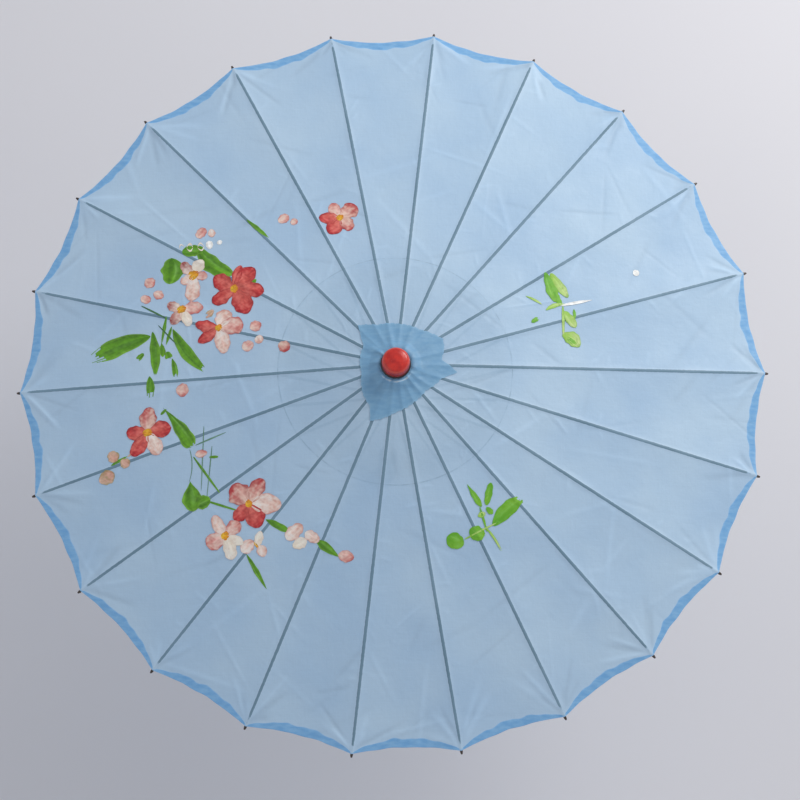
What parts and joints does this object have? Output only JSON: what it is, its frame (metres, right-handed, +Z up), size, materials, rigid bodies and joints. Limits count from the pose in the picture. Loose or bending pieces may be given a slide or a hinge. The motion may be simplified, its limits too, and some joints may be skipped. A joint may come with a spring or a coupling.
{
  "type": "folding parasol",
  "caption": "Hand-held folding parasol with a painted pale blue cloth canopy on bamboo ribs, a sliding runner, a turned wooden grip and a red finial.",
  "frame": {"origin": "centre of the flat bottom face of the handle grip", "axes": "+Z up the shaft towards the finial; +X and +Y across the canopy"},
  "size_m": [0.819, 0.8146, 0.54],
  "materials": {
    "cloth": "thin satin-sheen nylon, pale blue, painted with flowers",
    "cloth_doubled": "the same cloth lying double, a deeper blue",
    "rib_bamboo": "split bamboo, scraped smooth",
    "shaft_bamboo": "thin bamboo cane, clear varnish",
    "turned_wood": "turned hardwood, satin varnish",
    "red_lacquer": "moulded red cap, semi-gloss",
    "wire": "plain steel wire"
  },
  "bodies": {
    "shaft": {"shaft": "shaft_bamboo", "handle_grip": "turned_wood", "finial": "red_lacquer", "top_hub": "turned_wood", "top_hub_wire": "wire", "canopy": "cloth", "collar_patch": "cloth_doubled", "catch_pin": "wire"},
    "runner": {"runner": "turned_wood", "runner_wire": "wire"},
    "catch": {"catch_leaf": "wire"},
    "rib_01": {"rib_01": "rib_bamboo"},
    "stretcher_01": {"stretcher_01": "rib_bamboo"},
    "rib_02": {"rib_02": "rib_bamboo"},
    "stretcher_02": {"stretcher_02": "rib_bamboo"},
    "rib_03": {"rib_03": "rib_bamboo"},
    "stretcher_03": {"stretcher_03": "rib_bamboo"},
    "rib_04": {"rib_04": "rib_bamboo"},
    "stretcher_04": {"stretcher_04": "rib_bamboo"},
    "rib_05": {"rib_05": "rib_bamboo"},
    "stretcher_05": {"stretcher_05": "rib_bamboo"},
    "rib_06": {"rib_06": "rib_bamboo"},
    "stretcher_06": {"stretcher_06": "rib_bamboo"},
    "rib_07": {"rib_07": "rib_bamboo"},
    "stretcher_07": {"stretcher_07": "rib_bamboo"},
    "rib_08": {"rib_08": "rib_bamboo"},
    "stretcher_08": {"stretcher_08": "rib_bamboo"},
    "rib_09": {"rib_09": "rib_bamboo"},
    "stretcher_09": {"stretcher_09": "rib_bamboo"},
    "rib_10": {"rib_10": "rib_bamboo"},
    "stretcher_10": {"stretcher_10": "rib_bamboo"},
    "rib_11": {"rib_11": "rib_bamboo"},
    "stretcher_11": {"stretcher_11": "rib_bamboo"},
    "rib_12": {"rib_12": "rib_bamboo"},
    "stretcher_12": {"stretcher_12": "rib_bamboo"},
    "rib_13": {"rib_13": "rib_bamboo"},
    "stretcher_13": {"stretcher_13": "rib_bamboo"},
    "rib_14": {"rib_14": "rib_bamboo"},
    "stretcher_14": {"stretcher_14": "rib_bamboo"},
    "rib_15": {"rib_15": "rib_bamboo"},
    "stretcher_15": {"stretcher_15": "rib_bamboo"},
    "rib_16": {"rib_16": "rib_bamboo"},
    "stretcher_16": {"stretcher_16": "rib_bamboo"},
    "rib_17": {"rib_17": "rib_bamboo"},
    "stretcher_17": {"stretcher_17": "rib_bamboo"},
    "rib_18": {"rib_18": "rib_bamboo"},
    "stretcher_18": {"stretcher_18": "rib_bamboo"},
    "rib_19": {"rib_19": "rib_bamboo"},
    "stretcher_19": {"stretcher_19": "rib_bamboo"},
    "rib_20": {"rib_20": "rib_bamboo"},
    "stretcher_20": {"stretcher_20": "rib_bamboo"},
    "rib_21": {"rib_21": "rib_bamboo"},
    "stretcher_21": {"stretcher_21": "rib_bamboo"},
    "rib_22": {"rib_22": "rib_bamboo"},
    "stretcher_22": {"stretcher_22": "rib_bamboo"}
  },
  "joints": [
    {"name": "runner_slide", "type": "slide", "parent": "shaft", "child": "runner", "axis": [0, 0, -1], "range_m": [0, 0.14132], "deforming": ["canopy", "collar_patch", "catch_leaf"]},
    {"name": "catch_press", "type": "hinge", "parent": "shaft", "child": "catch", "pos_m": [0, -0.003, 0.331], "axis": [-1, 0, 0], "range_deg": [0, 6.5], "stiffness_Nm_per_rad": 0.02, "springref_deg": -5.73},
    {"name": "rib_hinge_01", "type": "hinge", "parent": "shaft", "child": "rib_01", "pos_m": [0.01399, 0.00046, 0.516], "axis": [-0.0332, 0.9995, 0], "range_deg": [0, 76]},
    {"name": "stretcher_hinge_01", "type": "hinge", "parent": "rib_01", "child": "stretcher_01", "pos_m": [0.12617, 0.00419, 0.49072], "axis": [0.0332, -0.9995, 0], "range_deg": [0, 123.64]},
    {"name": "rib_hinge_02", "type": "hinge", "parent": "shaft", "child": "rib_02", "pos_m": [0.01329, 0.00439, 0.516], "axis": [-0.3134, 0.9496, 0], "range_deg": [0, 76]},
    {"name": "stretcher_hinge_02", "type": "hinge", "parent": "rib_02", "child": "stretcher_02", "pos_m": [0.11988, 0.03956, 0.49072], "axis": [0.3134, -0.9496, 0], "range_deg": [0, 123.64]},
    {"name": "rib_hinge_03", "type": "hinge", "parent": "shaft", "child": "rib_03", "pos_m": [0.01152, 0.00796, 0.516], "axis": [-0.5682, 0.8229, 0], "range_deg": [0, 76]},
    {"name": "stretcher_hinge_03", "type": "hinge", "parent": "rib_03", "child": "stretcher_03", "pos_m": [0.10388, 0.07173, 0.49072], "axis": [0.5682, -0.8229, 0], "range_deg": [0, 123.64]},
    {"name": "rib_hinge_04", "type": "hinge", "parent": "shaft", "child": "rib_04", "pos_m": [0.00881, 0.01088, 0.516], "axis": [-0.777, 0.6294, 0], "range_deg": [0, 76]},
    {"name": "stretcher_hinge_04", "type": "hinge", "parent": "rib_04", "child": "stretcher_04", "pos_m": [0.07946, 0.09809, 0.49072], "axis": [0.777, -0.6294, 0], "range_deg": [0, 123.64]},
    {"name": "rib_hinge_05", "type": "hinge", "parent": "shaft", "child": "rib_05", "pos_m": [0.00539, 0.01292, 0.516], "axis": [-0.9229, 0.385, 0], "range_deg": [0, 76]},
    {"name": "stretcher_hinge_05", "type": "hinge", "parent": "rib_05", "child": "stretcher_05", "pos_m": [0.04861, 0.11651, 0.49072], "axis": [0.9229, -0.385, 0], "range_deg": [0, 123.64]},
    {"name": "rib_hinge_06", "type": "hinge", "parent": "shaft", "child": "rib_06", "pos_m": [0.00153, 0.01392, 0.516], "axis": [-0.994, 0.1094, 0], "range_deg": [0, 76]},
    {"name": "stretcher_hinge_06", "type": "hinge", "parent": "rib_06", "child": "stretcher_06", "pos_m": [0.01381, 0.12548, 0.49072], "axis": [0.994, -0.1094, 0], "range_deg": [0, 123.64]},
    {"name": "rib_hinge_07", "type": "hinge", "parent": "shaft", "child": "rib_07", "pos_m": [-0.00245, 0.01378, 0.516], "axis": [-0.9846, -0.1751, 0], "range_deg": [0, 76]},
    {"name": "stretcher_hinge_07", "type": "hinge", "parent": "rib_07", "child": "stretcher_07", "pos_m": [-0.0221, 0.12429, 0.49072], "axis": [0.9846, 0.1751, 0], "range_deg": [0, 123.64]},
    {"name": "rib_hinge_08", "type": "hinge", "parent": "shaft", "child": "rib_08", "pos_m": [-0.00623, 0.01254, 0.516], "axis": [-0.8954, -0.4453, 0], "range_deg": [0, 76]},
    {"name": "stretcher_hinge_08", "type": "hinge", "parent": "rib_08", "child": "stretcher_08", "pos_m": [-0.05622, 0.11303, 0.49072], "axis": [0.8954, 0.4453, 0], "range_deg": [0, 123.64]},
    {"name": "rib_hinge_09", "type": "hinge", "parent": "shaft", "child": "rib_09", "pos_m": [-0.00951, 0.01027, 0.516], "axis": [-0.7336, -0.6796, 0], "range_deg": [0, 76]},
    {"name": "stretcher_hinge_09", "type": "hinge", "parent": "rib_09", "child": "stretcher_09", "pos_m": [-0.08579, 0.09261, 0.49072], "axis": [0.7336, 0.6796, 0], "range_deg": [0, 123.64]},
    {"name": "rib_hinge_10", "type": "hinge", "parent": "shaft", "child": "rib_10", "pos_m": [-0.01202, 0.00717, 0.516], "axis": [-0.5125, -0.8587, 0], "range_deg": [0, 76]},
    {"name": "stretcher_hinge_10", "type": "hinge", "parent": "rib_10", "child": "stretcher_10", "pos_m": [-0.1084, 0.06469, 0.49072], "axis": [0.5125, 0.8587, 0], "range_deg": [0, 123.64]},
    {"name": "rib_hinge_11", "type": "hinge", "parent": "shaft", "child": "rib_11", "pos_m": [-0.01356, 0.0035, 0.516], "axis": [-0.2498, -0.9683, 0], "range_deg": [0, 76]},
    {"name": "stretcher_hinge_11", "type": "hinge", "parent": "rib_11", "child": "stretcher_11", "pos_m": [-0.12224, 0.03153, 0.49072], "axis": [0.2498, 0.9683, 0], "range_deg": [0, 123.64]},
    {"name": "rib_hinge_12", "type": "hinge", "parent": "shaft", "child": "rib_12", "pos_m": [-0.01399, -0.00046, 0.516], "axis": [0.0332, -0.9995, 0], "range_deg": [0, 76]},
    {"name": "stretcher_hinge_12", "type": "hinge", "parent": "rib_12", "child": "stretcher_12", "pos_m": [-0.12617, -0.00419, 0.49072], "axis": [-0.0332, 0.9995, 0], "range_deg": [0, 123.64]},
    {"name": "rib_hinge_13", "type": "hinge", "parent": "shaft", "child": "rib_13", "pos_m": [-0.01329, -0.00439, 0.516], "axis": [0.3134, -0.9496, 0], "range_deg": [0, 76]},
    {"name": "stretcher_hinge_13", "type": "hinge", "parent": "rib_13", "child": "stretcher_13", "pos_m": [-0.11988, -0.03956, 0.49072], "axis": [-0.3134, 0.9496, 0], "range_deg": [0, 123.64]},
    {"name": "rib_hinge_14", "type": "hinge", "parent": "shaft", "child": "rib_14", "pos_m": [-0.01152, -0.00796, 0.516], "axis": [0.5682, -0.8229, 0], "range_deg": [0, 76]},
    {"name": "stretcher_hinge_14", "type": "hinge", "parent": "rib_14", "child": "stretcher_14", "pos_m": [-0.10388, -0.07173, 0.49072], "axis": [-0.5682, 0.8229, 0], "range_deg": [0, 123.64]},
    {"name": "rib_hinge_15", "type": "hinge", "parent": "shaft", "child": "rib_15", "pos_m": [-0.00881, -0.01088, 0.516], "axis": [0.777, -0.6294, 0], "range_deg": [0, 76]},
    {"name": "stretcher_hinge_15", "type": "hinge", "parent": "rib_15", "child": "stretcher_15", "pos_m": [-0.07946, -0.09809, 0.49072], "axis": [-0.777, 0.6294, 0], "range_deg": [0, 123.64]},
    {"name": "rib_hinge_16", "type": "hinge", "parent": "shaft", "child": "rib_16", "pos_m": [-0.00539, -0.01292, 0.516], "axis": [0.9229, -0.385, 0], "range_deg": [0, 76]},
    {"name": "stretcher_hinge_16", "type": "hinge", "parent": "rib_16", "child": "stretcher_16", "pos_m": [-0.04861, -0.11651, 0.49072], "axis": [-0.9229, 0.385, 0], "range_deg": [0, 123.64]},
    {"name": "rib_hinge_17", "type": "hinge", "parent": "shaft", "child": "rib_17", "pos_m": [-0.00153, -0.01392, 0.516], "axis": [0.994, -0.1094, 0], "range_deg": [0, 76]},
    {"name": "stretcher_hinge_17", "type": "hinge", "parent": "rib_17", "child": "stretcher_17", "pos_m": [-0.01381, -0.12548, 0.49072], "axis": [-0.994, 0.1094, 0], "range_deg": [0, 123.64]},
    {"name": "rib_hinge_18", "type": "hinge", "parent": "shaft", "child": "rib_18", "pos_m": [0.00245, -0.01378, 0.516], "axis": [0.9846, 0.1751, 0], "range_deg": [0, 76]},
    {"name": "stretcher_hinge_18", "type": "hinge", "parent": "rib_18", "child": "stretcher_18", "pos_m": [0.0221, -0.12429, 0.49072], "axis": [-0.9846, -0.1751, 0], "range_deg": [0, 123.64]},
    {"name": "rib_hinge_19", "type": "hinge", "parent": "shaft", "child": "rib_19", "pos_m": [0.00623, -0.01254, 0.516], "axis": [0.8954, 0.4453, 0], "range_deg": [0, 76]},
    {"name": "stretcher_hinge_19", "type": "hinge", "parent": "rib_19", "child": "stretcher_19", "pos_m": [0.05622, -0.11303, 0.49072], "axis": [-0.8954, -0.4453, 0], "range_deg": [0, 123.64]},
    {"name": "rib_hinge_20", "type": "hinge", "parent": "shaft", "child": "rib_20", "pos_m": [0.00951, -0.01027, 0.516], "axis": [0.7336, 0.6796, 0], "range_deg": [0, 76]},
    {"name": "stretcher_hinge_20", "type": "hinge", "parent": "rib_20", "child": "stretcher_20", "pos_m": [0.08579, -0.09261, 0.49072], "axis": [-0.7336, -0.6796, 0], "range_deg": [0, 123.64]},
    {"name": "rib_hinge_21", "type": "hinge", "parent": "shaft", "child": "rib_21", "pos_m": [0.01202, -0.00717, 0.516], "axis": [0.5125, 0.8587, 0], "range_deg": [0, 76]},
    {"name": "stretcher_hinge_21", "type": "hinge", "parent": "rib_21", "child": "stretcher_21", "pos_m": [0.1084, -0.06469, 0.49072], "axis": [-0.5125, -0.8587, 0], "range_deg": [0, 123.64]},
    {"name": "rib_hinge_22", "type": "hinge", "parent": "shaft", "child": "rib_22", "pos_m": [0.01356, -0.0035, 0.516], "axis": [0.2498, 0.9683, 0], "range_deg": [0, 76]},
    {"name": "stretcher_hinge_22", "type": "hinge", "parent": "rib_22", "child": "stretcher_22", "pos_m": [0.12224, -0.03153, 0.49072], "axis": [-0.2498, -0.9683, 0], "range_deg": [0, 123.64]}
  ],
  "couplings": [
    {"joint": "rib_hinge_01", "follows": "runner_slide", "rad_per_m": 9.3859},
    {"joint": "stretcher_hinge_01", "follows": "runner_slide", "rad_per_m": 15.269},
    {"joint": "rib_hinge_02", "follows": "runner_slide", "rad_per_m": 9.3859},
    {"joint": "stretcher_hinge_02", "follows": "runner_slide", "rad_per_m": 15.269},
    {"joint": "rib_hinge_03", "follows": "runner_slide", "rad_per_m": 9.3859},
    {"joint": "stretcher_hinge_03", "follows": "runner_slide", "rad_per_m": 15.269},
    {"joint": "rib_hinge_04", "follows": "runner_slide", "rad_per_m": 9.3859},
    {"joint": "stretcher_hinge_04", "follows": "runner_slide", "rad_per_m": 15.269},
    {"joint": "rib_hinge_05", "follows": "runner_slide", "rad_per_m": 9.3859},
    {"joint": "stretcher_hinge_05", "follows": "runner_slide", "rad_per_m": 15.269},
    {"joint": "rib_hinge_06", "follows": "runner_slide", "rad_per_m": 9.3859},
    {"joint": "stretcher_hinge_06", "follows": "runner_slide", "rad_per_m": 15.269},
    {"joint": "rib_hinge_07", "follows": "runner_slide", "rad_per_m": 9.3859},
    {"joint": "stretcher_hinge_07", "follows": "runner_slide", "rad_per_m": 15.269},
    {"joint": "rib_hinge_08", "follows": "runner_slide", "rad_per_m": 9.3859},
    {"joint": "stretcher_hinge_08", "follows": "runner_slide", "rad_per_m": 15.269},
    {"joint": "rib_hinge_09", "follows": "runner_slide", "rad_per_m": 9.3859},
    {"joint": "stretcher_hinge_09", "follows": "runner_slide", "rad_per_m": 15.269},
    {"joint": "rib_hinge_10", "follows": "runner_slide", "rad_per_m": 9.3859},
    {"joint": "stretcher_hinge_10", "follows": "runner_slide", "rad_per_m": 15.269},
    {"joint": "rib_hinge_11", "follows": "runner_slide", "rad_per_m": 9.3859},
    {"joint": "stretcher_hinge_11", "follows": "runner_slide", "rad_per_m": 15.269},
    {"joint": "rib_hinge_12", "follows": "runner_slide", "rad_per_m": 9.3859},
    {"joint": "stretcher_hinge_12", "follows": "runner_slide", "rad_per_m": 15.269},
    {"joint": "rib_hinge_13", "follows": "runner_slide", "rad_per_m": 9.3859},
    {"joint": "stretcher_hinge_13", "follows": "runner_slide", "rad_per_m": 15.269},
    {"joint": "rib_hinge_14", "follows": "runner_slide", "rad_per_m": 9.3859},
    {"joint": "stretcher_hinge_14", "follows": "runner_slide", "rad_per_m": 15.269},
    {"joint": "rib_hinge_15", "follows": "runner_slide", "rad_per_m": 9.3859},
    {"joint": "stretcher_hinge_15", "follows": "runner_slide", "rad_per_m": 15.269},
    {"joint": "rib_hinge_16", "follows": "runner_slide", "rad_per_m": 9.3859},
    {"joint": "stretcher_hinge_16", "follows": "runner_slide", "rad_per_m": 15.269},
    {"joint": "rib_hinge_17", "follows": "runner_slide", "rad_per_m": 9.3859},
    {"joint": "stretcher_hinge_17", "follows": "runner_slide", "rad_per_m": 15.269},
    {"joint": "rib_hinge_18", "follows": "runner_slide", "rad_per_m": 9.3859},
    {"joint": "stretcher_hinge_18", "follows": "runner_slide", "rad_per_m": 15.269},
    {"joint": "rib_hinge_19", "follows": "runner_slide", "rad_per_m": 9.3859},
    {"joint": "stretcher_hinge_19", "follows": "runner_slide", "rad_per_m": 15.269},
    {"joint": "rib_hinge_20", "follows": "runner_slide", "rad_per_m": 9.3859},
    {"joint": "stretcher_hinge_20", "follows": "runner_slide", "rad_per_m": 15.269},
    {"joint": "rib_hinge_21", "follows": "runner_slide", "rad_per_m": 9.3859},
    {"joint": "stretcher_hinge_21", "follows": "runner_slide", "rad_per_m": 15.269},
    {"joint": "rib_hinge_22", "follows": "runner_slide", "rad_per_m": 9.3859},
    {"joint": "stretcher_hinge_22", "follows": "runner_slide", "rad_per_m": 15.269}
  ]
}
